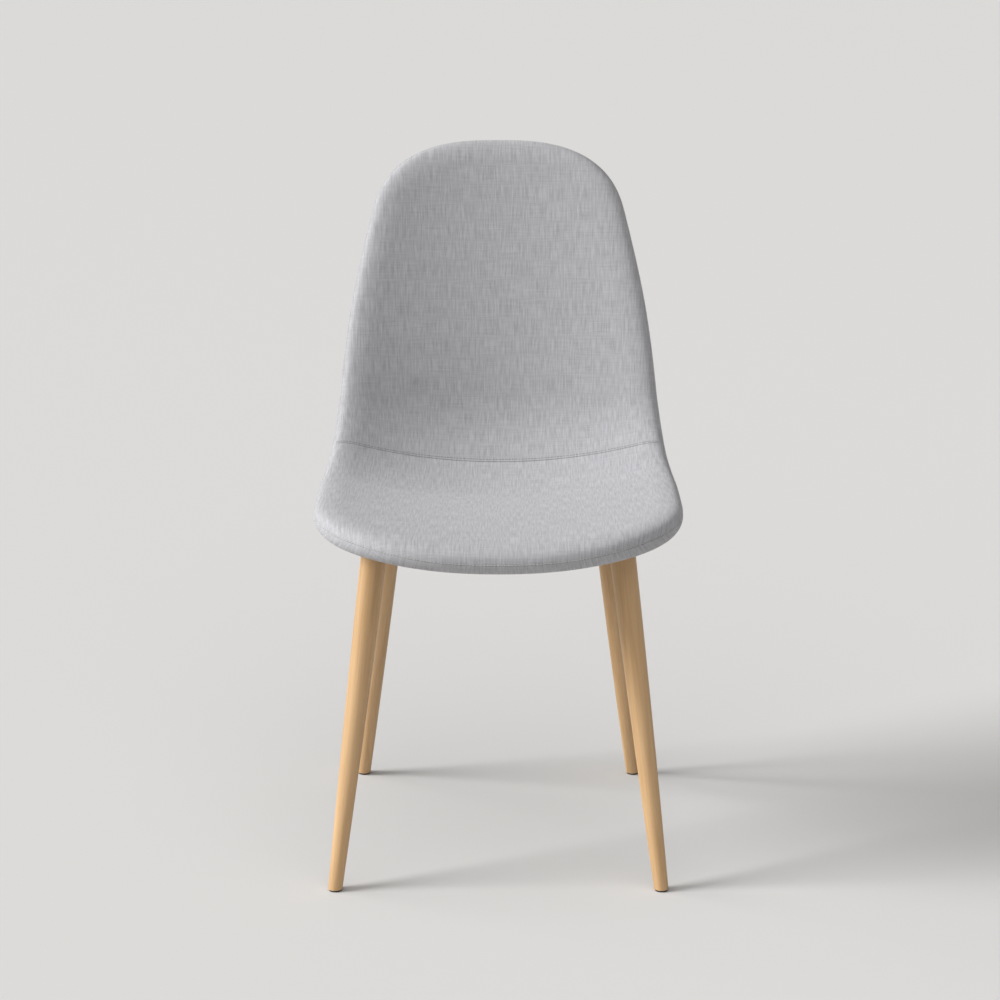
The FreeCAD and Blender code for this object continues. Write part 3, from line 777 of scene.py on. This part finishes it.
def on_cloth(pieces, points, lift):
    """Points moved to the nearest place on the given pieces, and lifted off it."""
    trees = []
    for piece in pieces:
        corners = [vertex.co.copy() for vertex in piece.data.vertices]
        faces = [tuple(face.vertices) for face in piece.data.polygons]
        trees.append(BVHTree.FromPolygons(corners, faces))
    moved = []
    for point in points:
        found = [tree.find_nearest(Vector(point)) for tree in trees]
        spot, normal, _, _ = min(found, key=lambda item: item[3])
        moved.append(spot + normal * lift)
    return moved


class Shader:
    """Builds one procedural material."""

    def __init__(self, name):
        self.material = bpy.data.materials.new(name)
        self.material.use_nodes = True
        self.tree = self.material.node_tree
        self.surface = self.tree.nodes["Principled BSDF"]

    def node(self, kind, **values):
        """Adds a node and sets its properties."""
        node = self.tree.nodes.new(kind)
        for name, value in values.items():
            setattr(node, name, value)
        return node

    def wire(self, node, name, value):
        """Sets or links one input."""
        socket = node.inputs[name]
        if isinstance(value, bpy.types.NodeSocket):
            self.tree.links.new(value, socket)
        else:
            socket.default_value = value

    def math(self, operation, *values):
        """Output of a math node that is fed with values and other outputs."""
        node = self.node("ShaderNodeMath", operation=operation)
        for number, value in enumerate(values):
            self.wire(node, number, value)
        return node.outputs[0]

    def blend(self, first, share, second):
        """A share of one output and the rest of another."""
        rest = self.math("MULTIPLY", second, 1 - share)
        return self.math("ADD", self.math("MULTIPLY", first, share), rest)

    def coords(self, output, scale, rotation=(0, 0, 0)):
        """Scaled coordinates of the piece: its UV map or its own object space."""
        source = self.node("ShaderNodeTexCoord")
        turned = self.node("ShaderNodeMapping", vector_type="POINT")
        self.wire(turned, "Vector", source.outputs[output])
        self.wire(turned, "Rotation", rotation)
        mapping = self.node("ShaderNodeMapping", vector_type="POINT")
        self.wire(mapping, "Vector", turned.outputs["Vector"])
        self.wire(mapping, "Scale", scale)
        return mapping.outputs["Vector"]

    def noise(self, vector, detail=2.0, roughness=0.5):
        """Noise at scaled coordinates."""
        node = self.node("ShaderNodeTexNoise")
        self.wire(node, "Vector", vector)
        self.wire(node, "Scale", 1.0)
        self.wire(node, "Detail", detail)
        self.wire(node, "Roughness", roughness)
        return node.outputs[0]

    def ramp(self, factor, stops):
        """Colour between two stops, each a place and a colour."""
        node = self.node("ShaderNodeValToRGB")
        self.wire(node, "Fac", factor)
        for element, (place, colour) in zip(node.color_ramp.elements, stops):
            element.position = place
            element.color = (*colour, 1.0)
        return node.outputs["Color"]

    def bump(self, height, strength, distance, under=None):
        """Normal of a fine relief, over another relief where one is given."""
        node = self.node("ShaderNodeBump")
        self.wire(node, "Height", height)
        self.wire(node, "Strength", strength)
        self.wire(node, "Distance", distance)
        if under is not None:
            self.wire(node, "Normal", under)
        return node.outputs["Normal"]

    def set(self, **values):
        """Sets inputs of the surface; an underscore stands for a space."""
        for name, value in values.items():
            self.wire(self.surface, name.replace("_", " "), value)
        return self.material


def cloth_material(look):
    """Plain weave of slubbed yarn: fine vertical streaks, weaker level ones, a soft sheen."""
    shader = Shader("grey_weave")
    split = shader.node("ShaderNodeSeparateXYZ")
    shader.wire(split, "Vector", shader.coords("UV", (math.pi / YARN_PITCH, math.pi / YARN_PITCH, 1)))
    warp = shader.math("SINE", split.outputs["X"])
    weft = shader.math("SINE", split.outputs["Y"])
    weave = shader.math("MULTIPLY", shader.math("MULTIPLY", warp, weft), 0.25)
    streaks = shader.noise(shader.coords("UV", (560, 40, 1)), detail=3.0, roughness=0.6)
    levels = shader.noise(shader.coords("UV", (30, 520, 1)))
    slub = shader.blend(streaks, 0.75, levels)
    colour = shader.ramp(slub, [(0.36, look.cloth_dark), (0.62, look.cloth)])
    relief = shader.math("MULTIPLY_ADD", slub, 1.2, weave)
    gathers = shader.node("ShaderNodeAttribute", attribute_name="gathers")
    ripples = shader.noise(shader.coords("UV", (420, 40, 1)))
    drawn = shader.bump(shader.math("MULTIPLY", ripples, gathers.outputs["Fac"]), 0.22, 0.0016)
    normal = shader.bump(relief, 0.35, 0.0004, drawn)
    rough = shader.math("MULTIPLY_ADD", slub, 0.2, 0.78)
    return shader.set(
        Base_Color=colour, Roughness=rough, Normal=normal, Sheen_Weight=0.15, Sheen_Roughness=0.5,
        Specular_IOR_Level=0.2,
    )


def thread_material(name, light):
    """Twisted sewing thread."""
    shader = Shader(name)
    twist = shader.noise(shader.coords("Object", (900, 900, 900)), detail=1.0)
    dark = tuple(0.8 * value for value in light)
    colour = shader.ramp(twist, [(0.3, dark), (0.7, light)])
    return shader.set(Base_Color=colour, Roughness=0.7, Normal=shader.bump(twist, 0.3, 0.0002))


def wood_material(look, name, rotation):
    """Straight-grained wood, its grain along one leg."""
    shader = Shader(name)
    grain = shader.noise(shader.coords("Object", (55, 55, 3.2), rotation), detail=4.0, roughness=0.55)
    pores = shader.noise(shader.coords("Object", (520, 520, 14), rotation))
    mixed = shader.blend(grain, 0.72, pores)
    colour = shader.ramp(mixed, [(0.36, look.wood_dark), (0.60, look.wood)])
    rough = shader.math("MULTIPLY_ADD", pores, 0.2, 0.36)
    return shader.set(Base_Color=colour, Roughness=rough, Normal=shader.bump(mixed, 0.12, 0.0004))


def plain_material(name, dark, light, roughness, metallic, scale, strength):
    """Finely mottled paint, plastic, metal or felted cloth."""
    shader = Shader(name)
    fine = shader.noise(shader.coords("Object", (scale, scale, scale)), detail=3.0)
    wide = shader.noise(shader.coords("Object", (scale / 12, scale / 12, scale / 12)))
    colour = shader.ramp(shader.blend(fine, 0.5, wide), [(0.35, dark), (0.65, light)])
    rough = shader.math("MULTIPLY_ADD", fine, 0.16, roughness - 0.08)
    normal = shader.bump(fine, strength, 0.0003)
    return shader.set(Base_Color=colour, Roughness=rough, Metallic=metallic, Normal=normal)


def coat(node, material):
    """Gives every slot of a kept node a better material."""
    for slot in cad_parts[node].material_slots:
        slot.material = material


def finish_piece(piece, material, nodes):
    """Hands a piece to the frame: its material, its body, and hides the nodes it stands for."""
    piece.data.materials.clear()
    piece.data.materials.append(material)
    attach(piece, BODY)
    if nodes:
        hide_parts(*nodes)
    return piece


class ChairOperator(bpy.types.Operator):
    """Shared base of the chair's operators."""

    bl_options = {"REGISTER"}


class CHAIR_OT_pads(ChairOperator):
    """Padded seat and padded back, meeting at the waist seam."""

    bl_idname = "chair.pads"
    bl_label = "Seat and back pads"

    def execute(self, context):
        scene = context.scene
        scoop = Scoop(scene.chair_scoop)
        material = cloth_material(scene.chair_finishes)
        for name, upper, nodes in (
            ("seat_pad", False, ["seat_cover", "seat_foam"]),
            ("back_pad", True, ["inner_back_cover", "back_foam", "waist_listing"]),
        ):
            piece = front_panel(scoop, scene.chair_cloth, name, upper)
            settle(piece, scene.chair_cloth)
            smooth(piece)
            finish_piece(piece, material, nodes)
        return {"FINISHED"}


class CHAIR_OT_outer(ChairOperator):
    """Outer panel behind the back and under the seat."""

    bl_idname = "chair.outer"
    bl_label = "Outer panel"

    def execute(self, context):
        scene = context.scene
        piece = outer_panel(Scoop(scene.chair_scoop), scene.chair_cloth, "outer_panel")
        smooth(piece)
        material = bpy.data.materials["grey_weave"]
        finish_piece(piece, material, ["outer_cover", "outer_wadding"])
        return {"FINISHED"}


class CHAIR_OT_legs(ChairOperator):
    """Wood of the four legs and plastic of their glides."""

    bl_idname = "chair.legs"
    bl_label = "Legs and glides"

    def execute(self, context):
        look = context.scene.chair_finishes
        plastic = plain_material("glide_plastic", (0.02, 0.016, 0.013), look.glide, 0.5, 0.0, 1500, 0.1)
        for end in ("front", "rear"):
            for side in ("left", "right"):
                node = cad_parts["leg_" + end + "_" + side]
                points = [vertex.co for vertex in node.data.vertices]
                low = min(point.z for point in points)
                high = max(point.z for point in points)
                foot = [point for point in points if point.z < low + LEG_END]
                head = [point for point in points if point.z > high - LEG_END]
                axis = sum(head, Vector()) / len(head) - sum(foot, Vector()) / len(foot)
                turn = axis.rotation_difference(Vector((0, 0, 1))).to_euler()
                coat(node.name, wood_material(look, "wood_" + end + "_" + side, tuple(turn)))
                coat("glide_" + end + "_" + side, plastic)
        return {"FINISHED"}


class CHAIR_OT_frame(ChairOperator):
    """Finish of the shell, the steel frame and its fixings."""

    bl_idname = "chair.frame"
    bl_label = "Shell, frame and fixings"

    def execute(self, context):
        black = (0.012, 0.012, 0.013)
        paint = plain_material("black_paint", black, (0.02, 0.02, 0.021), 0.45, 0.0, 900, 0.15)
        zinc = plain_material("zinc", (0.42, 0.42, 0.41), (0.56, 0.56, 0.57), 0.38, 1.0, 1200, 0.08)
        dark = (0.02, 0.02, 0.02)
        spacer = plain_material("spacer_plastic", dark, (0.03, 0.03, 0.03), 0.5, 0.0, 1400, 0.1)
        plywood = plain_material("plywood", (0.48, 0.31, 0.17), (0.6, 0.42, 0.25), 0.6, 0.0, 300, 0.1)
        for node in ("front_cross_bar", "rear_cross_bar", "left_side_rail", "right_side_rail"):
            coat(node, paint)
        screws = ("frame_bolts", "frame_washers", "leg_bolts", "leg_washers")
        for node in (*screws, "leg_inserts", "shell_tee_nuts"):
            coat(node, zinc)
        coat("seat_spacers", spacer)
        coat("moulded_shell", plywood)
        return {"FINISHED"}


class CHAIR_OT_dust(ChairOperator):
    """Thin black cloth under the seat."""

    bl_idname = "chair.dust"
    bl_label = "Dust cover"

    def execute(self, context):
        scoop = Scoop(context.scene.chair_scoop)
        low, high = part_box("dust_cover")
        at = np.linspace(0, scoop.seam, 2000)
        runs = scoop.lip_y + scoop.along(at)[0]
        first = float(np.interp(low.y, runs, at))
        last = float(np.interp(high.y, runs, at))
        steps = np.linspace(-1, 1, 41)
        along, across = np.meshgrid(steps, steps, indexing="ij")
        size = np.maximum(np.abs(along), np.abs(across))
        scale = np.where(size > 0, size / np.maximum(corner_size(along, across), 1e-9), 1.0)
        lengthwise = (first + last) / 2 + along * scale * (last - first) / 2
        flat = np.stack([across * scale * high.x, lengthwise], axis=-1)
        hang = (1 - along**2) * (1 - across**2)
        top = -context.scene.chair_scoop.rear_roll - DUST_GAP - DUST_HANG * hang
        mesher = Mesher()
        ring = []
        for level in (top, top - DUST_THICKNESS):
            sheet = mesher.add(scoop.place(flat, level), flat, 0.0)
            mesher.join(sheet)
            ring.append(np.concatenate([border(sheet), sheet[0, ::-1][1:]]))
        mesher.join(np.stack(ring))
        piece = mesher.finish("dust_cloth")
        piece.vertex_groups.clear()
        black = (0.014, 0.014, 0.015)
        cloth = plain_material("dust_cloth", black, (0.024, 0.024, 0.026), 0.85, 0.0, 1800, 0.4)
        finish_piece(piece, cloth, ["dust_cover"])
        return {"FINISHED"}


class CHAIR_OT_stitches(ChairOperator):
    """Top stitching along the waist seam and stitches of the rim seam."""

    bl_idname = "chair.stitches"
    bl_label = "Stitches"

    def execute(self, context):
        scene = context.scene
        cloth = scene.chair_cloth
        scoop = Scoop(scene.chair_scoop)
        look = scene.chair_finishes
        waist_thread = thread_material("waist_thread", look.waist_thread)
        rim_thread = thread_material("rim_thread", look.rim_thread)
        back = bpy.data.objects["back_pad"]
        seat = bpy.data.objects["seat_pad"]
        at = np.full(260, scoop.seam + cloth.topstitch)
        reach = float(scoop.full_reach(at[:1])[0])
        across = np.linspace(-reach, reach, len(at))
        turn = np.arccos(np.clip(1 - (reach - np.abs(across)) / scene.chair_scoop.front_roll, 0, 1))
        line = np.stack([across, at], axis=-1)
        points = scoop.place(line, scoop.padding(line) * np.sin(turn))
        values = {"Pitch": cloth.stitch_pitch, "Length": cloth.stitch_length, "Seed": 3}
        values["Thickness"] = cloth.thread
        path = on_cloth([back], points, 0.0)
        waist = row("waist_stitches", [(path, False)], values, waist_thread)
        rim = scoop.rim(2000)
        outline = np.concatenate([rim, rim[::-1][1:-1] * MIRROR])
        points = scoop.place(outline, SEAM_LEVEL)
        values["Thickness"] = cloth.rim_thread
        values["Length"] = cloth.stitch_pitch - STITCH_GAP
        path = on_cloth([seat, back], points, STITCH_LIFT)
        edge = row("rim_stitches", [(path, True)], values, rim_thread)
        finish_piece(waist, waist_thread, [])
        finish_piece(edge, rim_thread, [])
        return {"FINISHED"}


class CHAIR_OT_bolts(ChairOperator):
    """Socket-head bolts that hold the frame to the shell."""

    bl_idname = "chair.bolts"
    bl_label = "Frame bolts"

    def execute(self, context):
        turns = np.linspace(0, 2 * math.pi, 25)[:-1]
        circle = np.stack([np.cos(turns), np.sin(turns)], axis=-1)
        flats = np.cos(np.mod(turns, math.pi / 3) - math.pi / 6)
        socket = circle * (SOCKET_HALF / flats)[:, None]
        points = np.array([vertex.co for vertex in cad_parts["frame_bolts"].data.vertices])
        middle = (points[:, 1].min() + points[:, 1].max()) / 2
        mesher = Mesher()
        for left in (True, False):
            for rear in (True, False):
                own = points[((points[:, 0] < 0) == left) & ((points[:, 1] > middle) == rear)]
                low = own.min(axis=0)
                high = own.max(axis=0)
                head = (high[0] - low[0]) / 2
                tall = high[2] - low[2]
                centre = (low + high) / 2
                rings = [
                    (circle * SPECK, SOCKET_DEPTH),
                    (socket, SOCKET_DEPTH),
                    (socket, 0.0),
                    (circle * (head - BOLT_EDGE), 0.0),
                    (circle * head, BOLT_EDGE_RISE),
                    (circle * head, BOLT_HEAD),
                    (circle * BOLT_SHANK, BOLT_HEAD),
                    (circle * BOLT_SHANK, tall),
                    (circle * SPECK, tall),
                ]
                numbers = []
                for ring, rise in rings:
                    level = np.full((len(ring), 1), low[2] + rise)
                    block = np.concatenate([ring + centre[:2], level], axis=1)
                    numbers.append(mesher.add(block, ring, 0.0))
                numbers[0][:] = numbers[0][0]
                numbers[-1][:] = numbers[-1][0]
                numbers = np.stack(numbers)
                mesher.join(np.concatenate([numbers, numbers[:, :1]], axis=1))
        piece = mesher.finish("socket_bolts")
        piece.vertex_groups.clear()
        piece.data.set_sharp_from_angle(angle=math.radians(40))
        finish_piece(piece, bpy.data.materials["zinc"], ["frame_bolts"])
        return {"FINISHED"}


class CHAIR_OT_staples(ChairOperator):
    """Staples that hold the dust cover."""

    bl_idname = "chair.staples"
    bl_label = "Staples"

    def execute(self, context):
        cloth = bpy.data.objects["dust_cloth"]
        points = [vertex.co for vertex in cloth.data.vertices]
        half = max(point.x for point in points) - STAPLE_INSET
        first = min(point.y for point in points) + STAPLE_INSET
        last = max(point.y for point in points) - STAPLE_INSET
        turns = np.linspace(0, 2 * math.pi, 241)[:-1]
        size = 1 / corner_size(np.sin(turns), np.cos(turns))
        x = half * np.cos(turns) * size
        y = (first + last) / 2 + (last - first) / 2 * np.sin(turns) * size
        below = np.full(len(turns), BELOW_SEAT)
        loop = np.stack([x, y, below], axis=-1)
        values = {"Pitch": 24 * MM, "Length": 9 * MM, "Thickness": 1.0 * MM, "Seed": 5}
        path = on_cloth([cloth], loop, 0.1 * MM)
        piece = row("staples", [(path, True)], values, bpy.data.materials["zinc"])
        finish_piece(piece, bpy.data.materials["zinc"], [])
        return {"FINISHED"}


class CHAIR_OT_welds(ChairOperator):
    """Weld beads where the side rails meet the cross bars."""

    bl_idname = "chair.welds"
    bl_label = "Welds"

    def execute(self, context):
        paths = []
        bar_low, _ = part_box("front_cross_bar")
        for name in ("left_side_rail", "right_side_rail"):
            low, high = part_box(name)
            points = [vertex.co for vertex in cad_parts[name].data.vertices]
            for pick in (min, max):
                top = pick(point.y for point in points if point.z > high.z - FACE_BAND)
                bottom = pick(point.y for point in points if point.z < low.z + FACE_BAND)
                middle = top + (bottom - top) * (high.z - bar_low.z) / (high.z - low.z)
                left = [(low.x, middle, bar_low.z), (low.x, top, high.z)]
                right = [(high.x, top, high.z), (high.x, middle, bar_low.z)]
                paths.append((left + right, False))
        values = {"Pitch": 1.5 * MM, "Length": 2.6 * MM, "Thickness": 3.0 * MM, "Seed": 7}
        paint = bpy.data.materials["black_paint"]
        finish_piece(row("weld_beads", paths, values, paint), paint, [])
        return {"FINISHED"}


class CHAIR_OT_stage(ChairOperator):
    """Plain pale floor, soft light and the photo's camera."""

    bl_idname = "chair.stage"
    bl_label = "Stage"

    def execute(self, context):
        scene = context.scene
        stage = scene.chair_stage
        self.floor(stage)
        self.camera(scene, stage)
        self.light("key", stage.key, 24.0, (-4.4, -0.8, 2.7))
        self.light("top", stage.top, 80.0, (-0.4, -1.5, 2.6))
        self.light("side", stage.side, 30.0, (-4.0, 1.4, 1.6))
        world = scene.world or bpy.data.worlds.new("studio")
        scene.world = world
        world.use_nodes = True
        nodes = world.node_tree.nodes
        links = world.node_tree.links
        nodes.clear()
        path = nodes.new("ShaderNodeLightPath")
        seen = nodes.new("ShaderNodeBackground")
        lit = nodes.new("ShaderNodeBackground")
        mix = nodes.new("ShaderNodeMixShader")
        out = nodes.new("ShaderNodeOutputWorld")
        lit.inputs["Strength"].default_value = stage.sky
        lit.inputs["Color"].default_value = (1, 1, 1, 1)
        seen.inputs["Color"].default_value = (1, 1, 1, 1)
        links.new(path.outputs["Is Camera Ray"], mix.inputs["Fac"])
        links.new(lit.outputs["Background"], mix.inputs[1])
        links.new(seen.outputs["Background"], mix.inputs[2])
        links.new(mix.outputs["Shader"], out.inputs["Surface"])
        scene.view_settings.view_transform = "Standard"
        return {"FINISHED"}

    def floor(self, stage):
        """Plain pale floor that fills the picture."""
        mesh = bpy.data.meshes.new("floor")
        reach = 30.0
        corners = [(-reach, -reach, 0.0), (reach, -reach, 0.0), (reach, reach, 0.0), (-reach, reach, 0.0)]
        mesh.from_pydata(corners, [], [(0, 1, 2, 3)])
        mesh.materials.append(bpy.data.materials.new("pale_floor"))
        mesh.materials[0].use_nodes = True
        surface = mesh.materials[0].node_tree.nodes["Principled BSDF"]
        surface.inputs["Base Color"].default_value = (*stage.floor, 1.0)
        surface.inputs["Roughness"].default_value = 0.9
        surface.inputs["Specular IOR Level"].default_value = 0.1
        floor = bpy.data.objects.new("floor", mesh)
        bpy.context.scene.collection.objects.link(floor)
        return floor

    def camera(self, scene, stage):
        """Camera at the photo's angle."""
        lens = bpy.data.cameras.new("camera")
        lens.sensor_width = 36.0
        lens.lens = stage.focal
        lens.shift_x = stage.shift
        camera = bpy.data.objects.new("camera", lens)
        camera.location = (0.0, -stage.camera_distance, stage.camera_height)
        camera.rotation_euler = (math.pi / 2 - stage.camera_pitch, 0.0, 0.0)
        scene.collection.objects.link(camera)
        scene.camera = camera

    def light(self, name, strength, spread, source):
        """Soft light from far off, from the side of a source point."""
        sun = bpy.data.lights.new(name, "SUN")
        sun.energy = strength
        sun.angle = math.radians(spread)
        lamp = bpy.data.objects.new(name, sun)
        lamp.location = source
        lamp.rotation_euler = (-Vector(source)).to_track_quat("-Z", "Y").to_euler()
        bpy.context.scene.collection.objects.link(lamp)


class CHAIR_PT_parts(bpy.types.Panel):
    """Lists the chair's pieces and its stage."""

    bl_idname = "CHAIR_PT_parts"
    bl_label = "Scoop chair"
    bl_space_type = "VIEW_3D"
    bl_region_type = "UI"
    bl_category = "Chair"

    def draw(self, context):
        for operator in OPERATORS:
            self.layout.operator(operator.bl_idname)
        for name in GROUPS:
            group = getattr(context.scene, name)
            for key in group.bl_rna.properties.keys():
                if key not in ("rna_type", "name"):
                    self.layout.prop(group, key)


OPERATORS = (
    CHAIR_OT_pads,
    CHAIR_OT_outer,
    CHAIR_OT_stitches,
    CHAIR_OT_dust,
    CHAIR_OT_legs,
    CHAIR_OT_frame,
    CHAIR_OT_bolts,
    CHAIR_OT_staples,
    CHAIR_OT_welds,
    CHAIR_OT_stage,
)
GROUPS = {
    "chair_scoop": ScoopSizes,
    "chair_cloth": ClothSizes,
    "chair_finishes": Finishes,
    "chair_stage": StageSizes,
}


def register():
    """Adds the settings, the operators and the panel."""
    for name, group in GROUPS.items():
        bpy.utils.register_class(group)
        setattr(bpy.types.Scene, name, PointerProperty(type=group))
    for operator in OPERATORS:
        bpy.utils.register_class(operator)
    bpy.utils.register_class(CHAIR_PT_parts)


def unregister():
    """Takes away what register adds."""
    bpy.utils.unregister_class(CHAIR_PT_parts)
    for operator in reversed(OPERATORS):
        bpy.utils.unregister_class(operator)
    for name, group in GROUPS.items():
        delattr(bpy.types.Scene, name)
        bpy.utils.unregister_class(group)


def main():
    """Builds the pieces and the stage."""
    register()
    bpy.ops.chair.pads()
    bpy.ops.chair.outer()
    bpy.ops.chair.stitches()
    bpy.ops.chair.dust()
    bpy.ops.chair.legs()
    bpy.ops.chair.frame()
    bpy.ops.chair.bolts()
    bpy.ops.chair.staples()
    bpy.ops.chair.welds()
    bpy.ops.chair.stage()


if __name__ == "__main__":
    main()
